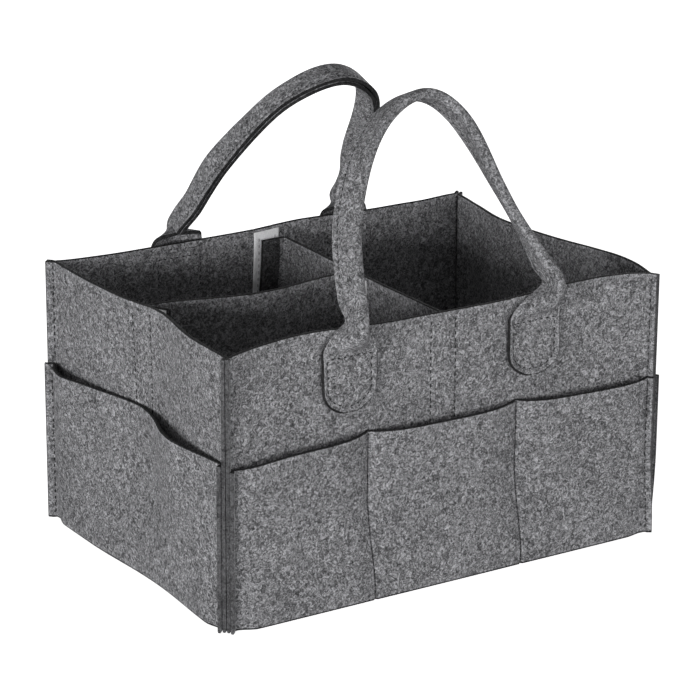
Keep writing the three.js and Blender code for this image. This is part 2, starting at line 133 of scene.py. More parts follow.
# How far each pocket stands off its wall at the mouth. The front and back have three pockets between seams
# at POCKET_SEAM. Each end has one, with its gaps as (place along the side, gap).
POCKET_SEAM = 56.5
POCKET_BULGE = {"front": 7.0, "back": 6.5}
END_GAPS = {
    "left": [(-112, 0), (-101, 6.5), (-86, 9.5), (-66, 4.6), (-41, 1.9), (-22, 0.9), (-7, 0.5), (11, 3.6),
             (39, 9), (56, 9), (76, 5.5), (98, 1.5), (112, 0)],
    "right": [(-112, 0), (-80, 3.5), (-40, 5), (0, 8), (20, 9.5), (50, 6), (88, 3), (112, 0)],
}

# The bottom panel: the radius of its corners, and points round a corner and along a side.
TRAY_CORNER, TRAY_TURNS, TRAY_STRAIGHT = 0.2, 8, 24
QUARTERS = [(1, 1), (-1, 1), (-1, -1), (1, -1)]

# Handles: folded felt strips whose ends are flat tabs sewn to the wall, fitted to the photograph. Pairs are
# for the left and right half: centres is where the tab sits, points how pointed the arch is, splays how far
# the neck stands out from the tab, twists the strap's turn in degrees at TWIST_PLACES (shares of the whole
# arch), stances how far out the leg stands at STANCE_PLACES (shares of the rise), and tucks draws in the
# neck. sway moves the crown along the caddy, and inset the strap over the rim. The tab turns into the strap
# between the heights in loosen, and is drawn together as in shoulder: (height, half width).
TWIST_PLACES = (0, 0.1, 0.16, 0.22, 0.28, 0.36, 0.45, 0.5)
STANCE_PLACES = (0, 0.1, 0.25, 0.4, 0.55, 0.7, 0.85, 1)
HANDLES = {
    "front": dict(
        lift=0, rise=132, lean=23, crown_tilt=20, sway=9, inset=0, tucks=(0, 0),
        loosen=(183, 204), centres=(70, 70), points=(1.08, 2.2), splays=(0, 9),
        twists=((22, 25, 27, 25, 17, 6, 0, 0), (0, 0, 18, 28, 21, 3, 0, 0)),
        stances=((0, -0.6, 0.4, 2, 2.3, 2.2, 2, 0), (0, 0, -2, -4, -4.6, -3, -1, 0)),
        shoulder=[(166, 20), (168.5, 19.6), (171.6, 16.6), (175, 13.2), (179, 9.2), (182, 5),
                  (184, 1.3)]),
    "back": dict(
        lift=8, rise=142, lean=39, crown_tilt=19, sway=1.5, inset=5, tucks=(0.3, 0.32),
        loosen=(184, 199), centres=(64.5, 70), points=(1.4, 1.34), splays=(-1, -3),
        twists=((2, 17, 25, 23, 16, 6, 0, 0), (15, 6, 0, 6, 12, 10, 0, 0)),
        stances=((0, 0.8, -3, -3, -0.1, 2.9, 5.2, 0), (0, -3.4, -0.8, 1.9, 2.1, 2.5, 4.1, 0)),
        shoulder=[(172, 20), (176, 19.9), (180, 18.8), (184, 17.2), (186.2, 16), (187, 12.5),
                  (188, 8), (189, 4), (190.5, 1.3)]),
}
TAB_CENTRE = 70.0
TAB_BOTTOM = 126.0
TAB_ROUND = 16.0
TAB_TOP = 33.0  # above the tab's foot, where the rows of the neck begin
TAB_CURL = 0.8
CURL_RANGE = (160.0, 172.0)
SPLAY_RANGE = (163.0, 188.0)
TUCK_RANGE = (HEIGHT + 0.5, HEIGHT + 7)
STRIP_HALF = 20.0
FOLD_ANGLE = math.radians(92.5)
CREASE = 4.0  # half width of the rounded crease
BEND_HEIGHT = 187.0
BEND_STANDOFF = 3.0
NECK_EASE, CROWN_EASE = 35.0, 6.0  # lengths over which the strap leaves the neck and meets the crown
RING_INSET = 4.0
RING_SIDE, RING_TOP = 24.0, 36.0
INNER_SINK = 0.35

# Dividers and tapes. PEEL is how far the long divider's left flap stands off its wall, in degrees.
FLAP = 20.0
FOLD_RADIUS = 3.0
FLAP_RUN = FLAP - HALF_FELT - FOLD_RADIUS
FOLD_TURNS = 8
LONG_SLACK = 12.0
PEEL = 30.0
DIVIDER_WAVE, WAVE_ALONG, WAVE_UP = 0.35, 19.0, 33.0
HOOK_INSET = 2.0
HOOK_TOP_INSET = 0.8
HOOK_BOTTOM = 90.0
TAPE_STITCH_INSET = 3.2
TAPE_SEAM_RANGE = (86.0, 176.0)
CROSS_SET, CROSS_LEAN = -1.6, 3.6
CROSS_LEAN_RANGE = (100.0, 176.0)
CROSS_SHIFT_RANGE = (22.0, 92.0)
TAPE_TRIM = {"front": 0.0, "back": 5.0, "left": 0.0}

# Mesh and thread detail.
STEP = 3.0
FIN_STEP = 1.1
NECK_STEP, STRAP_STEP = 1.2, 2.4
BEND_COLUMNS, BEND_CLEAR = (0, 0.7, 1.4, 2.2, 3.2, 4.6), 5.5
SEAM_COLUMNS, SEAM_CLEAR = (0, 0.5, 1.0, 1.6, 2.6), 3.2
CHAMFER = 0.5
CHAMFER_DROP = 0.55
TIP_DROP = 0.12
STITCH_PITCH, STITCH_LENGTH, THREAD_RADIUS = 4.6, 3.0, 0.55
STITCH_SIDES, STITCH_RINGS = 6, 5
GROOVE_DEPTH, GROOVE_WIDTH = 0.8, 0.95
TAPE_DENT, TAPE_DENT_WIDTH, TAPE_DENT_START = 0.45, 0.8, 84.0
POCKET_DENT, POCKET_DENT_WIDTH = 1.5, 0.75
# How far in from a cut edge the felt's painted highlight reaches.
EDGE_HIGHLIGHT_REACH = 1.6
VALLEY_DEPTH = 0.8
SHARP_ANGLE = math.radians(50)


# Small helpers.

def smooth(value, low, high):
    """0 below low, 1 above high, and an even curve between."""
    t = np.clip((np.asarray(value, float) - low) / (high - low), 0, 1)
    return t * t * (3 - 2 * t)


def lerp(a, b, t):
    return a + (b - a) * t


def spaced(start, end, step):
    """Evenly spaced values from start to end, about step apart."""
    return np.linspace(start, end, max(2, int(round(abs(end - start) / step)) + 1))


def edged(start, end, step):
    """Spaced values with one more just inside each end, where the cut edge is rounded."""
    values = spaced(start, end, step)
    rim = CHAMFER * np.sign(end - start)
    inner = values[(abs(values - start) > 2 * CHAMFER) & (abs(values - end) > 2 * CHAMFER)]
    return np.concatenate([[start, start + rim], inner, [end - rim, end]])


def soft_table(places, values, at, count=241, passes=24):
    """Values read off a table whose corners are smoothed."""
    fine = np.linspace(places[0], places[-1], count)
    curve = np.interp(fine, places, values)
    for _ in range(passes):
        curve[1:-1] = (curve[:-2] + 2 * curve[1:-1] + curve[2:]) / 4
    return np.interp(at, fine, curve)


def unit(vectors):
    return vectors / np.maximum(np.linalg.norm(vectors, axis=-1, keepdims=True), 1e-9)


def stack(*parts):
    """Points from their coordinates, each an array or one number for all."""
    return np.stack(np.broadcast_arrays(*parts), axis=-1)


def standing(plan, heights):
    """A grid of points: a line in plan, at each of the heights."""
    return stack(plan[:, :1], plan[:, 1:], heights)


def turned(points, degrees):
    """Points turned about Z, by one angle or an array of them."""
    a = np.radians(degrees)
    c, s = np.cos(a), np.sin(a)
    x, y, *z = np.moveaxis(points, -1, 0)
    return stack(c * x - s * y, s * x + c * y, *z)


def arc_lengths(line):
    """Lengths along a line of points, from its start."""
    return np.concatenate([[0], np.cumsum(np.linalg.norm(np.diff(line, axis=0), axis=1))])


def at_lengths(lengths, arc, rows):
    """Rows that are given at the lengths in arc, read at other lengths."""
    return stack(*(np.interp(lengths, arc, column) for column in rows.T))


def node_box(node):
    """The box of a node of the part, in millimetres."""
    low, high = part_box(node)
    return np.array(low) / MM, np.array(high) / MM


def stand_for(piece, node, body):
    """Puts a piece in the place of a node."""
    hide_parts(node)
    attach(piece, body)


CROSS_LOW, CROSS_HIGH = node_box("cross_divider")
LONG_LOW, LONG_HIGH = node_box("long_divider")
CROSS_X = CROSS_HIGH[0] - HALF_FELT
LONG_LEFT_Y = LONG_HIGH[1] - HALF_FELT
LONG_RIGHT_Y = LONG_LOW[1] + FLAP - HALF_FELT


# Materials.

def new_node(nodes, kind, **inputs):
    """A shader node with some of its inputs set."""
    node = nodes.new(f"ShaderNode{kind}")
    for name, value in inputs.items():
        node.inputs[name].default_value = value
    return node


def math_node(nodes, links, operation, a, b):
    """An operation on two values, each a node's output or a number."""
    node = nodes.new("ShaderNodeMath")
    node.operation = operation
    for socket, value in zip(node.inputs, (a, b)):
        if isinstance(value, (int, float)):
            socket.default_value = value
        else:
            links.new(value, socket)
    return node.outputs[0]


class Shading:
    """A new material and its nodes. Its patterns are fixed to the piece they are on."""

    def __init__(self, name):
        self.material = bpy.data.materials.new(name)
        self.material.use_nodes = True
        self.nodes, self.links = self.material.node_tree.nodes, self.material.node_tree.links
        self.coords = self.nodes.new("ShaderNodeTexCoord")
        self.socket("Specular IOR Level").default_value = 0.15

    def socket(self, name):
        return self.nodes["Principled BSDF"].inputs[name]

    def math(self, *terms):
        return math_node(self.nodes, self.links, *terms)

    def texture(self, kind, output, **inputs):
        node = new_node(self.nodes, kind, **inputs)
        self.links.new(self.coords.outputs["Object"], node.inputs["Vector"])
        return node.outputs[output]

    def noise(self, **inputs):
        return self.texture("TexNoise", "Fac", **inputs)

    def ramp(self, source, stops, target):
        """Gives a socket greys, very slightly blue, at the places in stops."""
        ramp = self.nodes.new("ShaderNodeValToRGB")
        elements = ramp.color_ramp.elements
        while len(elements) < len(stops):
            elements.new(0.5)
        for element, (place, grey) in zip(elements, stops):
            element.position = place
            element.color = (grey, grey, grey * 1.02, 1)
        self.links.new(source, ramp.inputs["Fac"])
        self.links.new(ramp.outputs["Color"], target)

    def bump(self, height, strength, distance):
        bump = new_node(self.nodes, "Bump", Strength=strength, Distance=distance)
        self.links.new(height, bump.inputs["Height"])
        self.links.new(bump.outputs["Normal"], self.socket("Normal"))


def felt_material(name, stops, cloud_stops):
    """Melange felt: pale and dark fibres in clumps, with a slow drift in tone, a matted relief, and a
    painted highlight that lightens it near the cut edges.
    """
    felt = Shading(name)
    clumps = felt.noise(Scale=330, Detail=3, Roughness=0.6, Distortion=1.6)
    fibres = felt.noise(Scale=950, Detail=2, Roughness=0.65, Distortion=0.8)
    drift = felt.noise(Scale=28, Detail=2, Roughness=0.5)
    mixed = felt.math("ADD", felt.math("MULTIPLY", clumps, 0.6), felt.math("MULTIPLY", fibres, 0.4))
    # Painted highlight: the felt is lightened near its cut edges, for the light their rounding catches.
    edge_highlight = felt.nodes.new("ShaderNodeAttribute")
    edge_highlight.attribute_name = "edge"
    painted_highlight = felt.math("MULTIPLY", edge_highlight.outputs["Fac"], 0.03)
    tint = felt.nodes.new("ShaderNodeMix")
    tint.data_type = "RGBA"
    tint.blend_type = "MULTIPLY"
    tint.inputs["Factor"].default_value = 1.0
    # The colour sockets of this node share their names with others, so they go by number.
    felt.ramp(felt.math("ADD", mixed, painted_highlight), stops, tint.inputs[6])
    felt.ramp(drift, cloud_stops, tint.inputs[7])
    felt.links.new(tint.outputs[2], felt.socket("Base Color"))
    felt.ramp(fibres, [(0.3, 0.98), (0.7, 0.86)], felt.socket("Roughness"))
    felt.bump(mixed, strength=0.6, distance=0.0009)
    return felt.material


def tape_material(name, stops, scale, strength):
    """Brushed nylon tape: a fine nap with tufts."""
    tape = Shading(name)
    nap = tape.noise(Scale=scale, Detail=3, Roughness=0.7, Distortion=1.0)
    tufts = tape.texture("TexVoronoi", "Distance", Scale=scale * 0.7)
    tape.ramp(nap, stops, tape.socket("Base Color"))
    tape.ramp(nap, [(0.3, 0.9), (0.7, 0.7)], tape.socket("Roughness"))
    tape.bump(tape.math("SUBTRACT", nap, tufts), strength, distance=0.0006)
    return tape.material


def thread_material(name, stops):
    """Twisted polyester thread."""
    thread = Shading(name)
    twist = thread.noise(Scale=2200, Detail=2, Roughness=0.5, Distortion=0.5)
    thread.ramp(twist, stops, thread.socket("Base Color"))
    thread.ramp(twist, [(0.3, 0.8), (0.7, 0.55)], thread.socket("Roughness"))
    thread.bump(twist, strength=0.4, distance=0.0003)
    return thread.material


FACE_CLOUDS = [(0.3, 0.86), (0.7, 1.0)]
FELT_FACE = felt_material(
    "grey_felt", [(0.36, 0.035), (0.45, 0.1), (0.51, 0.19), (0.58, 0.33), (0.66, 0.52)], FACE_CLOUDS)
# Painted shade: a darker copy of the felt for the dividers' flaps, which are the same felt as the panels.
FELT_FLAP_PAINTED_SHADE = felt_material(
    "felt_flap_painted_shade", [(0.36, 0.014), (0.45, 0.03), (0.51, 0.055), (0.58, 0.1), (0.66, 0.17)], FACE_CLOUDS)
# Painted shade: a darker copy of the felt for the ends of the corner fins, standing in for the shade on
# faces turned away from the lamps.
FELT_TIP_PAINTED_SHADE = felt_material(
    "felt_fin_edge_painted_shade", [(0.38, 0.022), (0.5, 0.06), (0.64, 0.13)], [(0.3, 0.85), (0.7, 1.0)])
# Painted shade: a near-black copy of the felt for the cut edges and the narrow rounded bands along them,
# standing in for the shade in the gaps between layers and under edges.
FELT_EDGE_PAINTED_SHADE = felt_material(
    "felt_cut_edge_painted_shade", [(0.38, 0.006), (0.5, 0.014), (0.64, 0.045)], [(0.3, 0.7), (0.7, 1.0)])
TAPE_STOPS = [(0.3, 0.7), (0.5, 0.88), (0.7, 0.95)]
LOOP_FACE = tape_material("loop_tape", TAPE_STOPS, 1500, 0.6)
HOOK_FACE = tape_material("hook_tape", TAPE_STOPS, 900, 0.9)
THREAD = thread_material("grey_thread", [(0.35, 0.005), (0.6, 0.018)])
PALE_THREAD = thread_material("pale_thread", [(0.35, 0.3), (0.6, 0.5)])


# Meshes.

def add_piece(name, points, faces, materials, indices=None):
    """A smooth mesh from points in millimetres. indices gives each face's material."""
    mesh = bpy.data.meshes.new(name)
    mesh.from_pydata((np.asarray(points, float) * MM).tolist(), [], faces)
    for material in materials:
        mesh.materials.append(material)
    if indices is not None:
        mesh.polygons.foreach_set("material_index", np.asarray(indices, np.int32))
    mesh.polygons.foreach_set("use_smooth", np.ones(len(mesh.polygons), bool))
    mesh.update()
    mesh.set_sharp_from_angle(angle=SHARP_ANGLE)
    obj = bpy.data.objects.new(name, mesh)
    bpy.context.scene.collection.objects.link(obj)
    return obj


def grid_normals(middle):
    """Normals of a grid of points, to the side where its rows run anticlockwise."""
    along = np.gradient(middle, axis=0)
    across = np.gradient(middle, axis=1)
    return unit(np.cross(along, across))


class Sheet:
    """A closed sheet of cloth about a grid of middle points, with its edges rounded and cut square."""

    def __init__(self, middle, thickness=FELT, dent=None, tight_ends=False):
        self.middle = middle
        self.normals = grid_normals(middle)
        half = np.full(middle.shape[:2], thickness / 2)
        drop = min(CHAMFER_DROP, thickness / 4)
        half[[0, -1], :] -= drop
        half[1:-1, [0, -1]] -= drop
        if tight_ends:
            half[[0, -1], 1:-1] += drop - TIP_DROP
        outer = half - (dent if dent is not None else 0)
        self.outer = middle + self.normals * outer[..., None]
        self.inner = middle - self.normals * half[..., None]

    def faces(self):
        """Loops of points, and their kinds: 0 on a face, 1 at the edges along it, 2 at its two ends."""
        columns, rows = self.middle.shape[:2]
        index = np.arange(columns * rows).reshape(columns, rows)
        top, under = index, index + columns * rows
        loops, kinds = [], []

        def add(kind, *corners):
            loops.extend(stack(*map(np.ravel, corners)).tolist())
            kinds.extend(np.ravel(np.broadcast_to(kind, corners[0].shape)).tolist())

        rim = np.zeros((columns - 1, rows - 1), int)
        # The outermost rows and columns take the darker edge and end felts: painted shade along the cut
        # edges.
        rim[:, [0, -1]] = 1
        rim[[0, -1], :] = 2
        add(rim, top[:-1, :-1], top[1:, :-1], top[1:, 1:], top[:-1, 1:])
        add(rim, under[:-1, :-1], under[:-1, 1:], under[1:, 1:], under[1:, :-1])
        add(1, top[:-1, 0], under[:-1, 0], under[1:, 0], top[1:, 0])
        add(1, top[:-1, -1], top[1:, -1], under[1:, -1], under[:-1, -1])
        add(2, top[0, :-1], top[0, 1:], under[0, 1:], under[0, :-1])
        add(2, top[-1, :-1], under[-1, :-1], under[-1, 1:], top[-1, 1:])
        return loops, kinds

    def edge_closeness(self):
        """1 at the cut edges of the sheet, falling to 0 a few millimetres inside them."""
        nearest = np.full(self.middle.shape[:2], np.inf)
        for axis in (0, 1):
            steps = np.linalg.norm(np.diff(self.middle, axis=axis), axis=2)
            start = np.insert(np.cumsum(steps, axis=axis), 0, 0, axis=axis)
            end = start.max(axis=axis, keepdims=True) - start
            nearest = np.minimum(nearest, np.minimum(start, end))
        return np.exp(-(nearest / EDGE_HIGHLIGHT_REACH) ** 2)

    def piece(self, name, face, edge, tip=None, shade_patch=None, shade_columns=()):
        """edge is for the cut edges, tip for both ends, and the painted-shade patch for the columns marked
        to take it.
        """
        loops, kinds = self.faces()
        points = np.concatenate([self.outer.reshape(-1, 3), self.inner.reshape(-1, 3)])
        materials = [face, edge, tip or edge]
        if shade_patch:
            materials.append(shade_patch)
            kinds = np.array(kinds)
            marked = np.tile(np.repeat(shade_columns, self.middle.shape[1] - 1), 2)
            kinds[:len(marked)][marked & (kinds[:len(marked)] == 0)] = 3
        obj = add_piece(name, points, loops, materials, kinds)
        # Closeness to the cut edges, kept on the mesh, sets where the felt's painted highlight falls.
        closeness = np.tile(self.edge_closeness().ravel(), 2)
        obj.data.attributes.new("edge", "FLOAT", "POINT").data.foreach_set("value", closeness)
        return obj

    def seam(self, columns, rows):
        """A line on the outer face, and the way it faces."""
        return self.outer[columns, rows], self.normals[columns, rows]

    def flat(self):
        """The size the sheet was cut to, in metres: its middle lines along and across."""
        rows, columns = self.middle.shape[1] // 2, self.middle.shape[0] // 2
        length = arc_lengths(self.middle[:, rows])[-1]
        width = arc_lengths(self.middle[columns])[-1]
        return round(width * MM, 3), round(length * MM, 3)


def stitches(name, lines, material=THREAD, sink=0.12):
    """Rows of stitches. Each line is (points, normals): a seam and the way it faces."""
    points, faces = [], []
    shares = np.linspace(-1, 1, STITCH_RINGS)[:, None, None]
    angles = np.arange(STITCH_SIDES)[:, None] * 2 * math.pi / STITCH_SIDES
    radius, height = THREAD_RADIUS * (1 - 0.45 * shares**2), 0.1 - sink - 0.45 * shares**4
    last = (STITCH_RINGS - 1) * STITCH_SIDES
    for line, facing in lines:
        arc = arc_lengths(line)
        at = np.arange(STITCH_PITCH / 2, arc[-1], STITCH_PITCH)
        ahead = unit(at_lengths(at + 0.3, arc, line) - at_lengths(at - 0.3, arc, line))
        up = unit(at_lengths(at, arc, np.broadcast_to(facing, line.shape)))
        aside = unit(np.cross(ahead, up))
        for place, run, rise, side in zip(at_lengths(at, arc, line), ahead, up, aside):
            first = len(points)
            middle = place + run * shares * STITCH_LENGTH / 2 + rise * height
            rings = middle + radius * (side * np.cos(angles) + rise * np.sin(angles))
            points.extend(rings.reshape(-1, 3))
            for ring in range(first, first + last, STITCH_SIDES):
                for k in range(STITCH_SIDES):
                    a, b = ring + k, ring + (k + 1) % STITCH_SIDES
                    faces.append([a, b, b + STITCH_SIDES, a + STITCH_SIDES])
            faces.append([first + k for k in reversed(range(STITCH_SIDES))])
            faces.append([first + last + k for k in range(STITCH_SIDES)])
    return add_piece(name, points, faces, [material])


# The basket's sides.

def bow_at(side, share):
    """How far the rim of a side is drawn in, at a share of its half length."""
    peak = side["peak"] / side["half"]
    away = np.where(share > peak, (share - peak) / (1 - peak), (peak - share) / (1 + peak))
    return side["bow"] * np.maximum(np.cos(away * math.pi / 2), 0) ** side["sharpness"]


def ripple(side, x, z):
    """The slight unevenness of a standing felt panel."""
    phase = math.radians(side["turn"]) + 0.7
    broad = BROAD_RIPPLE * np.sin(x / BROAD_ALONG + phase) * np.sin(z / BROAD_UP + 1.7 * phase)
    waves = broad + FINE_RIPPLE * np.sin(x / FINE_ALONG - z / FINE_UP + phase)
    return waves * (1 - np.abs(x / side["half"]) ** 6) * smooth(z, 5, 45)


def rim_wave(side, x):
    """The chance waves of a side's top edge: how far it is moved inward and upward."""
    places, inward, upward = np.array(side["rim"], float).T
    return soft_table(places, inward, x), soft_table(places, upward, x)


def rim_rise(side, x, z):
    """How far a place on a wall is raised by the sag and waves of its top edge."""
    share = np.clip(x / side["half"], -1, 1)
    top = HEIGHT - side["sag"] * (1 - share**2) + rim_wave(side, x)[1]
    return (top - HEIGHT) * smooth(z, RIM_START, HEIGHT)


def foot_inward(side, x):
    """How far the lower edge of a side is drawn in."""
    away = np.clip((x - FOOT_PLACE) / FOOT_HALF, -1, 1)
    return side["foot"] * np.cos(away * math.pi / 2) ** 2


def flare_outward(side, x):
    """How far the lower edge of a side is pushed out between its seams."""
    half = side["half"]
    return np.interp(x, [-half, half], side["flare"]) * smooth(half - np.abs(x), *FLARE_ENDS)


def wall_inward(side, x, z):
    """How far the wall of a side is drawn inwards from its corner lines."""
    share = np.clip(x / (side["half"] - MITRE * WALL_MID), -1, 1)
    drawn = bow_at(side, share) * smooth(z, BOW_START, BOW_FULL) + ripple(side, x, z)
    drawn = drawn + foot_inward(side, x) * (1 - smooth(z, 0, FOOT_TOP))
    drawn = drawn - flare_outward(side, x) * (1 - smooth(z, 0, FLARE_TOP))
    return drawn + rim_wave(side, x)[0] * smooth(z, RIM_START, HEIGHT)


def column_places(bend, seams):
    """Places along a panel between its corner bends, closer together at those and at its seams."""
    middle = set(np.round(spaced(-bend, bend, STEP), 3))
    middle = {x for x in middle if abs(x) < bend - BEND_CLEAR}
    for seam in seams:
        middle = {x for x in middle if abs(x - seam) > SEAM_CLEAR}
        middle |= {seam + sign * d for sign in (-1, 1) for d in SEAM_COLUMNS}
    middle |= {sign * (bend - d) for sign in (-1, 1) for d in BEND_COLUMNS}
    return np.array(sorted(middle))


def panel_middle(side, layer, heights, inward, seams=()):
    """Middle surface of a panel: a fin at 45 degrees at each corner and the bowed part between them.

    Also the places of the columns between the fins, and how many columns a fin has.
    """
    bend = side["half"] - MITRE * layer
    xs = column_places(bend, seams)
    seam = SEAM + (POCKET_SEAM_EXTRA if layer > WALL_OUT else 0)
    corner = np.array([bend, -side["reach"] - layer])
    fin_length = seam - MITRE * layer
    shares = edged(fin_length, 0, FIN_STEP)[:-2] / fin_length
    count = len(shares)
    total = 2 * count + len(xs)
    middle = np.zeros((total, len(heights), 3))
    ends = []
    for (foot_turn, turn_above), longer, sign in zip(side["fins"], side["longer"], (-1, 1)):
        reach = seam + longer
        tip = np.array([side["half"] + (reach - layer) * math.sqrt(0.5),
                        -side["reach"] - (reach + layer) * math.sqrt(0.5)])
        pivot = np.array([sign * side["half"], -side["reach"]])
        arm = ((corner + shares[:, None] * (tip - corner)) * [sign, 1] - pivot)[:, None]
        degrees = lerp(foot_turn, turn_above, smooth(heights, 0, FIN_TURN_TOP))
        degrees = degrees * smooth(np.linalg.norm(arm, axis=2), *FIN_TURN_ENDS)
        ends.append(pivot + turned(arm, degrees))
    middle[:count, :, :2] = ends[0]
    middle[-count:, :, :2] = ends[1][::-1]
    grid_x, grid_z = np.meshgrid(xs, heights, indexing="ij")
    middle[count:-count, :, 0] = grid_x
    middle[count:-count, :, 1] = inward(grid_x, grid_z) - side["reach"] - layer
    middle[..., 2] = heights

    # The corner bends are rounded by evening out the columns next to them.
    for _ in range(3):
        for bent in (count, total - count - 1):
            zone = np.arange(bent - 2, bent + 3)
            between = (middle[zone - 1, :, :2] + middle[zone + 1, :, :2]) / 2
            middle[zone, :, :2] += 0.5 * (between - middle[zone, :, :2])
    return middle, xs, count


def seam_dent(middle, seams, depth, width):
    """How deep the stitches of the seams draw a panel in."""
    dent = np.zeros(middle.shape[:2])
    for seam in seams:
        dent += depth * np.exp(-((middle[..., 0] - seam) / width) ** 2)
    return dent


def pocket_gap(name, side, x, z):
    """How far a pocket panel stands off its wall."""
    rise = np.maximum(z / POCKET_HEIGHT, 0) ** POCKET_RISE
    if name in POCKET_BULGE:
        outer = (np.abs(x) - POCKET_SEAM) / (side["half"] - POCKET_SEAM)
        across = np.clip(np.where(outer > 0, 2 * outer - 1, x / POCKET_SEAM), -1, 1)
        return POCKET_BULGE[name] * (1 - np.abs(across) ** POCKET_FULLNESS) * rise
    places, gaps = np.array(END_GAPS[name], float).T
    return soft_table(places, gaps, x) * rise


def cross_shift(z):
    """How far the back end of the cross divider, and the tape behind it, stand along the caddy."""
    return CROSS_SET + CROSS_LEAN * smooth(z, *CROSS_LEAN_RANGE)


def tape_range(name):
    """Where a wall's loop tape begins and ends along its side, and its lowest and highest points."""
    low, high = node_box(f"{name}_wall_loop_tape")
    start, end = {"front": (low[0], high[0]), "back": (-high[0], -low[0]),
                  "left": (-high[1], -low[1])}[name]
    return start, end - TAPE_TRIM[name], low[2], high[2]


def panel_heights(top):
    heights = edged(0, top, STEP)
    # The lowest band takes the near-black cut-edge felt: a painted contact shadow along the foot.
    heights[1] = FOOT_SHADE_BAND
    return heights


def panel_sheet(node, side, middle, dent, count):
    """A panel's sheet, with a valley at each corner bend, made into its piece."""
    dent[[count - 2, count - 1, 1 - count, -count]] += VALLEY_DEPTH
    sheet = Sheet(turned(middle, side["turn"]), dent=dent, tight_ends=True)
    piece = sheet.piece(f"{node}_felt", FELT_FACE, FELT_EDGE_PAINTED_SHADE, FELT_TIP_PAINTED_SHADE)
    stand_for(piece, node, "basket")
    sheet.flat()
    return sheet


def build_wall(name, side, heights, tape_lines):
    def inward(x, z):
        return wall_inward(side, x, z)

    middle, xs, count = panel_middle(side, WALL_MID, heights, inward, tape_lines)
    middle[..., 2] += rim_rise(side, middle[..., 0], middle[..., 2])
    dent = seam_dent(middle, tape_lines, TAPE_DENT, TAPE_DENT_WIDTH) * (middle[..., 2] > TAPE_DENT_START)
    return panel_sheet(f"{name}_wall", side, middle, dent, count), xs, count


def build_pocket(name, side, seams):
    def inward(x, z):
        return wall_inward(side, x, z) - pocket_gap(name, side, x, z)

    middle, xs, count = panel_middle(side, POCKET_MID, panel_heights(POCKET_HEIGHT), inward, seams)
    waves = [soft_table(*np.array(side["mouth"], float).T, middle[..., 0])]
    if seams:
        gap = pocket_gap(name, side, middle[..., 0], POCKET_HEIGHT)
        waves.insert(0, SEAM_LIFT * np.clip(1 - gap / POCKET_BULGE[name], 0, 1) - MOUTH_DIP)
    for wave in waves:
        middle[..., 2] += wave * smooth(middle[..., 2], MOUTH_START, POCKET_HEIGHT)
    dent = seam_dent(middle, seams, POCKET_DENT, POCKET_DENT_WIDTH)
    return panel_sheet(f"{name}_pocket", side, middle, dent, count), xs, count


def build_side(name):
    """A wall, the pocket outside it, and their seams: the pocket's, the corner fins' and the tape's."""
    side = SIDES[name]
    tape_lines = []
    if name in TAPE_TRIM:
        start, end, _, _ = tape_range(name)
        tape_lines = [start + TAPE_STITCH_INSET, end - TAPE_STITCH_INSET]
    seams = [-POCKET_SEAM, POCKET_SEAM] if name in POCKET_BULGE else []
    heights = panel_heights(HEIGHT)
    wall, wall_xs, wall_fin = build_wall(name, side, heights, tape_lines)
    pocket, pocket_xs, pocket_fin = build_pocket(name, side, seams)

    inside = slice(2, -2)
    above = np.flatnonzero(heights > POCKET_HEIGHT + 2)[:-2]
    beside_tape = np.flatnonzero((heights > TAPE_SEAM_RANGE[0]) & (heights < TAPE_SEAM_RANGE[1]))
    lines = []
    for seam in seams:
        lines.append(pocket.seam(pocket_fin + int(np.argmin(abs(pocket_xs - seam))), inside))
    for pocket_column, wall_column in ((pocket_fin - 2, wall_fin - 2), (1 - pocket_fin, 1 - wall_fin)):
        lines.append(pocket.seam(pocket_column, inside))
        lines.append(wall.seam(wall_column, above))
    for seam in tape_lines:
        lines.append(wall.seam(wall_fin + int(np.argmin(abs(wall_xs - seam))), beside_tape))
    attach(stitches(f"{name}_side_stitches", lines), "basket")


def tray_ring(x, y):
    """Points round a rectangle with small round corners."""
    half = np.array([x - TRAY_CORNER, y - TRAY_CORNER])
    shares = np.linspace(0, 1, TRAY_STRAIGHT)[1:-1, None]
    ring = []
    for quarter in range(4):
        angles = np.linspace(quarter, quarter + 1, TRAY_TURNS) * math.pi / 2
        arc = TRAY_CORNER * stack(np.cos(angles), np.sin(angles))
        corner, following = half * QUARTERS[quarter], half * QUARTERS[(quarter + 1) % 4]
        ring.extend([corner + arc, lerp(corner + arc[-1], following + arc[-1], shares)])
    return np.concatenate(ring)


def build_bottom():
    """A tray of felt with its edge turned up: rings from its middle, over the edge and back underneath."""
    _, (half_x, half_y, lip) = node_box("bottom_panel")
    profile = [(60, FELT), (30, FELT), (8, FELT), (5, 2.7), (3.4, 3.4), (2.6, 4.8), (FELT, lip - 0.6),
               (2.1, lip - 0.1), (1.25, lip), (0.5, lip - 0.1), (0, lip - 0.6), (0, 2.0), (0.5, 0.6),
               (1.6, 0.0), (8, 0.0), (60, 0.0)]
    left, front = SIDES["left"], SIDES["front"]
    points = []
    for inset, z in profile:
        x, y = tray_ring(half_x - inset, half_y - inset).T
        drawn = foot_inward(left, -y) - flare_outward(left, -y)
        pushed = flare_outward(front, x) * smooth(-y, 40, half_y - 10)
        x = x + drawn * smooth(-x, 40, half_x - 10)
        points.append(stack(x, y - pushed, z))
    size, last = len(points[0]), (len(points) - 1) * len(points[0])
    faces = []
    for ring in range(0, last, size):
        for k in range(size):
            a, b = ring + k, ring + (k + 1) % size
            faces.append([a, a + size, b + size, b])
    faces.append(list(range(size)))
    faces.append([last + k for k in reversed(range(size))])
    piece = add_piece("bottom_panel_felt", np.concatenate(points), faces, [FELT_FACE])
    stand_for(piece, "bottom_panel", "basket")


# Handles.

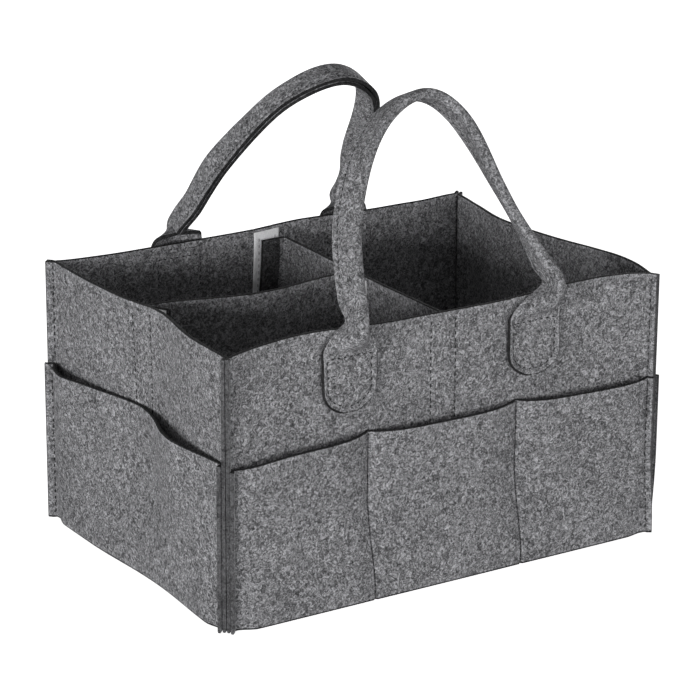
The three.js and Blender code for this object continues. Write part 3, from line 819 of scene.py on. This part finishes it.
# Shares of the half width at which a strip has its lines of points, from one edge to the other.
HALF_ACROSS = np.concatenate([[1, 1 - CHAMFER / STRIP_HALF], np.arange(0.93, 0.22, -0.045),
                              [0.2, 0.16, 0.12, 0.09, 0.06, 0.03]])
ACROSS = np.concatenate([-HALF_ACROSS, [0], HALF_ACROSS[::-1]])
TAB_RISES = np.concatenate([[0.06, 0.5, 1.1, 1.9, 2.9, 3.9, 5], np.arange(6.2, TAB_TOP, 1.2)])


def folded(angle, across):
    """Section of a strip folded along its middle by an angle each side: depth and spread at each place."""
    fine = np.linspace(0, STRIP_HALF, 161)
    bend = angle * smooth(fine, 0, CREASE)

    def summed(rate):
        total = np.concatenate([[0], np.cumsum((rate[1:] + rate[:-1]) / 2 * fine[1])])
        return np.interp(np.abs(across), fine, total)

    return summed(np.sin(bend)), summed(np.cos(bend)) * np.sign(across)


def fold_depth(angle):
    return folded(angle, STRIP_HALF)[0]


def angle_for(spread):
    """The fold angle that brings the strip's edges to a distance from its middle."""
    angles = np.linspace(0, FOLD_ANGLE, 120)
    spreads = np.array([folded(a, STRIP_HALF)[1] for a in angles])
    return float(np.interp(spread, spreads[::-1], angles[::-1]))


def tab_middle(side, x, z):
    """Where the middle of a tab lies on its wall."""
    return wall_inward(side, x, np.minimum(z, HEIGHT)) - side["reach"] - WALL_OUT - GAP - HALF_FELT


def bend_out(name):
    """How far out the line lies that a handle bends on."""
    side = SIDES[name]
    on_wall = bow_at(side, np.array(TAB_CENTRE / (side["half"] - MITRE * WALL_MID)))
    return side["reach"] + WALL_OUT + GAP + FELT + BEND_STANDOFF - float(on_wall)


def handle_half(name, right):
    """Rows of points across half a handle, from its tab to the crown, and how many reach the neck's top.

    A handle is a strip of felt, flat at its sewn ends and folded lengthwise between them. The right half is
    built in a mirror.
    """
    side, handle = SIDES[name], HANDLES[name]
    lean, lift = math.radians(handle["lean"]), handle["lift"]
    end, mirror = (1, -1) if right else (0, 1)
    centre, splay = handle["centres"][end], handle["splays"][end]
    out = bend_out(name) - handle["inset"]

    # The arch, from the bend to the crown, with t as the share of the whole handle.
    t = np.linspace(0, 0.5, 2001)
    theta = math.pi * t
    share_up = np.sin(theta) ** handle["points"][end]
    up = handle["rise"] * share_up
    along = mirror * handle["sway"] * np.sin(theta) ** 2 - (centre + splay) * np.cos(theta)
    along -= soft_table(STANCE_PLACES, handle["stances"][end], share_up, 101, 30)
    arch = stack(along, up * math.sin(lean) - out, BEND_HEIGHT + lift + up * math.cos(lean))
    arc = arc_lengths(arch)
    rising = np.array([0, math.sin(lean), math.cos(lean)])
    depth_all = fold_depth(FOLD_ANGLE) + FELT / 2

    def arch_point(length):
        return at_lengths(length, arc, arch)

    def strap_row(length):
        """Points across the folded strap, at a length along the arch from the bend."""
        if length <= 0:
            middle, ahead, share = arch[0] + rising * length, rising, 0.0
        else:
            middle = arch_point(length)
            ahead = unit(arch_point(min(length + 1, arc[-1])) - arch_point(length - 1))
            level = float(smooth(length, arc[-1] - CROWN_EASE, arc[-1]))
            ahead = unit(lerp(ahead, np.array([1.0, 0, 0]), level))
            ahead = unit(lerp(rising, ahead, float(smooth(length, 0, NECK_EASE))))
            share = float(np.interp(length, arc, t))
        tilt = lerp(lean, math.radians(handle["crown_tilt"]), math.sin(share * math.pi) ** 2)
        crease = np.array([0, -math.cos(tilt), math.sin(tilt)])
        spread = unit(np.cross(crease, ahead))
        if spread @ np.array([1.0, 0, -0.3]) < 0:
            spread = -spread
        twist = math.radians(soft_table(TWIST_PLACES, handle["twists"][end], share, 101, 20))
        crease, spread = (crease * math.cos(twist) + spread * math.sin(twist),
                          spread * math.cos(twist) - crease * math.sin(twist))
        deep, wide = folded(FOLD_ANGLE, ACROSS * STRIP_HALF)
        return middle + crease * (depth_all / 2 - deep[:, None]) + spread * wide[:, None]

    def tab_row(z):
        """Points across the tab, and across the pleat that draws it together above."""
        foot = np.clip((z - lift - TAB_BOTTOM) / TAB_ROUND, 0, 1)
        half = STRIP_HALF * math.sqrt(max(1 - (1 - foot) ** 2, 0))
        levels, spreads = np.array(handle["shoulder"]).T
        angle = angle_for(np.interp(z, levels, spreads))
        deep, wide = folded(angle, ACROSS * half)
        edge = fold_depth(angle)
        x = wide - centre - splay * float(smooth(z - lift, *SPLAY_RANGE))
        curl = TAB_CURL * np.maximum(ACROSS**8, (1 - foot) ** 4) * (1 - smooth(z - lift, *CURL_RANGE))
        drawn_in = handle["tucks"][end] * edge * float(smooth(z, *TUCK_RANGE))
        y = tab_middle(side, mirror * x, np.full_like(x, z)) - edge + deep + drawn_in - curl
        return stack(x, y, z)

    bottom = TAB_BOTTOM + lift
    rows = [tab_row(bottom + rise) for rise in TAB_RISES]
    for z in np.arange(bottom + TAB_TOP, handle["loosen"][1] + 0.1, NECK_STEP):
        share = float(smooth(z, *handle["loosen"]))
        length = (z - BEND_HEIGHT - lift - depth_all / 2 * math.sin(lean)) / math.cos(lean)
        rows.append(lerp(tab_row(z), strap_row(length), share))
    neck = len(rows)
    rows.extend(strap_row(run) for run in spaced(length, arc[-1], STRAP_STEP)[1:])
    rows = np.array(rows)
    rows[-1, :, 0] = mirror * handle["sway"]
    return rows * [mirror, 1, 1], neck


def relax(strip, first, last, passes):
    """Evens out the rows of a strip between two of them."""
    for _ in range(passes):
        between = (strip[first - 1:last - 1] + strip[first + 1:last + 1]) / 2
        strip[first:last] += 0.35 * (between - strip[first:last])


def ring_line(name):
    """The ring of stitches that holds a tab, about the tab's middle and lower end."""
    inner, low = STRIP_HALF - RING_INSET, TAB_ROUND - RING_INSET
    angles = np.linspace(math.pi, 2 * math.pi, 25)
    x = np.concatenate([[-inner, -inner], inner * np.cos(angles), [inner, inner], [-inner]])
    z = np.concatenate([[RING_TOP, RING_SIDE], TAB_ROUND + low * np.sin(angles), [RING_SIDE, RING_TOP],
                        [RING_TOP]])
    ring = stack(x, z)
    arc = arc_lengths(ring)
    return at_lengths(np.linspace(0, arc[-1], 400), arc, ring) + [0, TAB_BOTTOM + HANDLES[name]["lift"]]


def handle_strip(name):
    """Rows of points across a whole handle, and how many of them reach the top of each neck."""
    left, neck = handle_half(name, False)
    right, _ = handle_half(name, True)
    strip = np.concatenate([left, right[-2::-1]])
    count, crown = len(strip), len(left) - 1
    first_row, past_neck = 24, 8
    relax(strip, first_row, neck + past_neck, 5)
    relax(strip, count - neck - past_neck, count - first_row, 5)
    relax(strip, crown - 12, crown + 13, 12)
    return strip, neck


def build_handle(name):
    side, handle = SIDES[name], HANDLES[name]
    strip, neck = handle_strip(name)
    count = len(strip)

    # Grooves under the stitches: a ring on each tab, and a row along each side of the strap.
    ring = ring_line(name)
    dent = np.zeros(strip.shape[:2])
    tab_places = (-handle["centres"][0], handle["centres"][1])
    for rows, centre in zip((slice(0, neck), slice(count - neck, count)), tab_places):
        flat = strip[rows][..., [0, 2]] - [centre, 0]
        distance = np.linalg.norm(flat[:, :, None] - ring, axis=-1).min(axis=-1)
        dent[rows] = GROOVE_DEPTH * np.exp(-(distance / GROOVE_WIDTH) ** 2)
    sewn_along = int(np.argmin(abs(ACROSS - 1 + RING_INSET / STRIP_HALF)))
    run = slice(neck + 4, count - neck - 4)
    from_row = (np.abs(ACROSS) - ACROSS[sewn_along]) * STRIP_HALF
    dent[run] += GROOVE_DEPTH * np.exp(-(from_row / GROOVE_WIDTH) ** 2)

    sheet = Sheet(turned(strip[:, ::-1], side["turn"]), dent=dent[:, ::-1])
    piece = sheet.piece(f"{name}_handle_felt", FELT_FACE, FELT_EDGE_PAINTED_SHADE)
    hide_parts(f"{name}_handle_left_tab", f"{name}_handle_right_tab", f"{name}_handle_strap")
    hinge = turned(np.array([0, -bend_out(name), BEND_HEIGHT + handle["lift"]]), side["turn"])
    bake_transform(piece)
    length = sheet.flat()[1]

    # Stitches of the tabs, outside and inside the wall, and along the strap.
    lines = []
    outward = turned(np.array([0, -1.0, 0]), side["turn"])
    for centre in tab_places:
        x, z = ring[:, 0] + centre, ring[:, 1]
        y = tab_middle(side, x, z) - HALF_FELT
        lines.append((turned(stack(x, y, z), side["turn"]), outward))
        y = wall_inward(side, x, z) - side["reach"] - WALL_IN + (GROOVE_DEPTH - INNER_SINK)
        lines.append((turned(stack(x, y, z), side["turn"]), -outward))
    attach(stitches(f"{name}_handle_tab_stitches", lines, sink=GROOVE_DEPTH), "basket")
    lines = [sheet.seam(run, column) for column in (sewn_along, len(ACROSS) - 1 - sewn_along)]
    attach(stitches(f"{name}_handle_strap_stitches", lines), f"{name}_handle")


# Dividers and tapes.

def flap_roots(span, shift):
    """Where the near and far flaps of a divider begin, in its own plan."""
    return np.array([HALF_FELT, -FOLD_RADIUS]), np.array([span - HALF_FELT, -FOLD_RADIUS - shift])


def divider_path(span, slack, shift, peel):
    """Plan of a divider along +X with its flaps towards -Y, and the kind of each of its points."""
    near, far = flap_roots(span, shift)
    first, last = near[0] + FOLD_RADIUS, far[0] - FOLD_RADIUS
    shares = spaced(0, 1, STEP / (last - first))[1:-1]

    def fold(x, y, start, end):
        angles = np.linspace(start, end, FOLD_TURNS)
        return stack(x + FOLD_RADIUS * np.cos(angles), y + FOLD_RADIUS * np.sin(angles))

    parts = [near + edged(FLAP_RUN, 0, 2)[:-2, None] * [math.sin(peel), -math.cos(peel)],
             fold(first, near[1], math.pi, math.pi / 2),
             stack(lerp(first, last, shares), -shift * shares - slack * np.sin(shares * math.pi) ** 2),
             fold(last, far[1], math.pi / 2, 0),
             far + edged(0, FLAP_RUN, 2)[2:, None] * [0, -1]]
    kinds = np.repeat(["flap", "fold", "panel", "fold", "flap"], [len(part) for part in parts])
    return np.concatenate(parts), kinds


def build_divider(name, place, turn, slack, shift, peel, span, ends):
    """place(points) takes the divider's own frame to the caddy's, and turn is the angle between them."""
    low, high = node_box(name)
    heights = edged(low[2], high[2], STEP)
    path, kinds = divider_path(span, slack, shift, peel)
    middle = standing(path, heights)
    wave = DIVIDER_WAVE * np.sin(middle[..., 0] / WAVE_ALONG + 1) * np.sin(middle[..., 2] / WAVE_UP)
    middle[..., 1] += wave * (kinds == "panel")[:, None]
    sheet = Sheet(place(middle))
    in_flap = kinds == "flap"
    # The flaps take the darker felt: painted shade on the same felt as the panel.
    piece = sheet.piece(f"{name}_felt", FELT_FACE, FELT_EDGE_PAINTED_SHADE, shade_patch=FELT_FLAP_PAINTED_SHADE,
                        shade_columns=in_flap[:-1] & in_flap[1:])
    stand_for(piece, name, name)
    sheet.flat()

    run = edged(0, FLAP_RUN - HOOK_INSET, 1.0)
    levels = edged(HOOK_BOTTOM, high[2] - HOOK_TOP_INSET, 1.5)
    for end, root, angle, sign in zip(ends, flap_roots(span, shift), (peel, 0.0), (-1, 1)):
        along = np.array([math.sin(angle), -math.cos(angle)])
        face = sign * np.array([math.cos(angle), math.sin(angle)])
        plan = root + run[:, None] * along + face * (HALF_FELT + GAP + TAPE / 2)
        grid = place(standing(plan, levels))
        facing = turned(np.array([*face, 0.0]), turn)
        build_tape(f"{name}_{end}_hook_tape", grid, HOOK_FACE, name, facing)


def build_tape(node, grid, material, body, facing):
    """A length of tape sewn on along both sides. facing is the way its nap looks."""
    if grid_normals(grid)[1, 1] @ facing < 0:
        grid = grid[:, ::-1]
    sheet = Sheet(grid, thickness=TAPE)
    piece = sheet.piece(f"{node}_nap", material, material)
    stand_for(piece, node, body)
    sheet.flat()
    lines = []
    arc = arc_lengths(sheet.middle[:, 2])
    for place in (TAPE_STITCH_INSET, arc[-1] - TAPE_STITCH_INSET):
        column = min(int(np.argmin(abs(arc - place))), len(arc) - 3)
        lines.append(sheet.seam(column, slice(3, -3)))
    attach(stitches(f"{node}_stitches", lines, PALE_THREAD), body)


def tape_grid(start, end, bottom, top):
    """Places along a loop tape and up it."""
    return np.meshgrid(edged(start, end, 1.2), edged(bottom, top, 1.6), indexing="ij")


def build_wall_tape(name):
    side = SIDES[name]
    x, z = tape_grid(*tape_range(name))
    if name == "back":
        x = x - cross_shift(z)
    z = z + rim_rise(side, x, z)
    y = wall_inward(side, x, z) - side["reach"] - WALL_IN + GAP + TAPE / 2
    grid = turned(stack(x, y, z), side["turn"])
    inward = turned(np.array([0, 1.0, 0]), side["turn"])
    build_tape(f"{name}_wall_loop_tape", grid, LOOP_FACE, "basket", inward)


def build_cross_tape():
    """The tape on the cross divider that the long one sticks to."""
    low, high = node_box("cross_divider_loop_tape")
    y, z = tape_grid(LONG_LOW[1], high[1], low[2], high[2])
    grid = stack((low[0] + high[0]) / 2, y, z)
    build_tape("cross_divider_loop_tape", grid, LOOP_FACE, "cross_divider",
               np.array([-1.0, 0, 0]))


def place_cross(points):
    """From the cross divider's own frame, whose X runs from its back end to its front end."""
    x, y, z = np.moveaxis(points, -1, 0)
    place_y = CROSS_HIGH[1] - x
    return stack(CROSS_X + y + cross_shift(z) * smooth(place_y, *CROSS_SHIFT_RANGE), place_y, z)


def place_long(points):
    """From the long divider's own frame, whose X runs from its left end to its right end."""
    return points + [LONG_LOW[0], LONG_LEFT_Y, 0]


# Floor, light and camera. Lamps are given in metres and watts.

WHITE = (1, 1, 1, 1)
FLOOR_HALF, FLOOR_DROP = 12.0, 0.0002
FLOOR_PAINT = (0.93, 0.93, 0.93, 1)
FLOOR_GLOW = (0.87, 0.87, 0.87, 1)
SURROUND_LIGHT, SURROUND_SEEN = 0.26, 1.0
LAMPS = {"key": ((-2.2, -1.2, 0.3), 53), "fill": ((0.6, -2.6, 0.2), 31), "back": ((2.1, 2.0, 0.35), 38)}
LAMP_SIZE = 0.8
LAMP_TARGET = np.array([0, 0, 0.1])

# The photograph's camera, fitted to the tips of the corner seams, in degrees and millimetres.
CAMERA_AZIMUTH, CAMERA_ELEVATION, CAMERA_ROLL = -32.249, 18.5899, 0.3708
CAMERA_TARGET = np.array([0, 0, 90.0])
CAMERA_OFFSET = np.array([0.706, -31.027, -2076.534])
CAMERA_LENS, CAMERA_SENSOR = 160.394, 36.0
CAMERA_CLIP = 60.0  # metres


def seen_directly(nodes, links):
    """1 where a thing is seen, itself or in a shiny or clear one, and 0 where light falls from it."""
    path = nodes.new("ShaderNodeLightPath")
    seen = math_node(nodes, links, "MAXIMUM", path.outputs["Is Camera Ray"], path.outputs["Is Glossy Ray"])
    return math_node(nodes, links, "MAXIMUM", seen, path.outputs["Is Transmission Ray"])


def fresh_nodes(owner):
    owner.use_nodes = True
    owner.node_tree.nodes.clear()
    return owner.node_tree.nodes, owner.node_tree.links


def build_floor():
    """White ground that keeps the caddy's shadow and glows only where it is seen."""
    mesh = bpy.data.meshes.new("floor")
    half = FLOOR_HALF
    corners = [(-half, -half, 0), (half, -half, 0), (half, half, 0), (-half, half, 0)]
    mesh.from_pydata(corners, [], [(0, 1, 2, 3)])
    material = bpy.data.materials.new("white_floor")
    nodes, links = fresh_nodes(material)
    paint = new_node(nodes, "BsdfDiffuse", Color=FLOOR_PAINT)
    glow = new_node(nodes, "Emission", Color=FLOOR_GLOW)
    links.new(seen_directly(nodes, links), glow.inputs["Strength"])
    mix = nodes.new("ShaderNodeAddShader")
    links.new(paint.outputs["BSDF"], mix.inputs[0])
    links.new(glow.outputs["Emission"], mix.inputs[1])
    out = nodes.new("ShaderNodeOutputMaterial")
    links.new(mix.outputs["Shader"], out.inputs["Surface"])
    mesh.materials.append(material)
    floor = bpy.data.objects.new("floor", mesh)
    floor.location.z = -FLOOR_DROP
    bpy.context.scene.collection.objects.link(floor)


def build_world():
    """An even white surround, which looks white and lights the caddy more weakly."""
    world = bpy.data.worlds.new("studio")
    bpy.context.scene.world = world
    nodes, links = fresh_nodes(world)
    mix = nodes.new("ShaderNodeMixShader")
    links.new(seen_directly(nodes, links), mix.inputs["Fac"])
    for socket, strength in ((1, SURROUND_LIGHT), (2, SURROUND_SEEN)):
        light = new_node(nodes, "Background", Color=WHITE, Strength=strength)
        links.new(light.outputs["Background"], mix.inputs[socket])
    out = nodes.new("ShaderNodeOutputWorld")
    links.new(mix.outputs["Shader"], out.inputs["Surface"])


def stand(obj, right, up, back, place):
    """Puts a lamp or camera into the scene, looking away from back."""
    matrix = Matrix.Identity(4)
    for row in range(3):
        matrix[row][:] = (right[row], up[row], back[row], place[row])
    obj.matrix_world = matrix
    bpy.context.scene.collection.objects.link(obj)


def add_lamp(name, place, power):
    data = bpy.data.lights.new(name, "AREA")
    data.size = LAMP_SIZE
    data.energy = power
    back = unit(np.array(place) - LAMP_TARGET)
    right = unit(np.cross([0, 0, 1], back))
    stand(bpy.data.objects.new(name, data), right, np.cross(back, right), back, place)


def build_camera():
    a, e, r = (math.radians(v) for v in (CAMERA_AZIMUTH, CAMERA_ELEVATION, CAMERA_ROLL))
    back = np.array([math.sin(a) * math.cos(e), -math.cos(a) * math.cos(e), math.sin(e)])
    right = np.array([math.cos(a), math.sin(a), 0])
    up = np.cross(back, right)
    roll = np.array([[math.cos(r), math.sin(r), 0], [-math.sin(r), math.cos(r), 0], [0, 0, 1]])
    axes = roll @ np.array([right, up, back])
    data = bpy.data.cameras.new("photo_camera")
    data.sensor_width = CAMERA_SENSOR
    data.lens = CAMERA_LENS
    data.clip_end = CAMERA_CLIP
    camera = bpy.data.objects.new("photo_camera", data)
    stand(camera, *axes, (CAMERA_TARGET - axes.T @ CAMERA_OFFSET) * MM)
    bpy.context.scene.camera = camera


build_bottom()
for side_name in SIDES:
    build_side(side_name)
for side_name in TAPE_TRIM:
    build_wall_tape(side_name)
for handle_name in HANDLES:
    build_handle(handle_name)
build_divider("cross_divider", place_cross, turn=-90, slack=0, shift=0, peel=0,
              span=CROSS_HIGH[1] - CROSS_LOW[1], ends=("back", "front"))
build_divider("long_divider", place_long, turn=0, slack=LONG_SLACK, shift=LONG_LEFT_Y - LONG_RIGHT_Y,
              peel=math.radians(PEEL), span=LONG_HIGH[0] - LONG_LOW[0], ends=("left", "right"))
build_cross_tape()

build_floor()
build_world()
for lamp_name, (lamp_place, lamp_power) in LAMPS.items():
    add_lamp(lamp_name, lamp_place, lamp_power)
build_camera()
bpy.context.scene.view_settings.view_transform = "Standard"
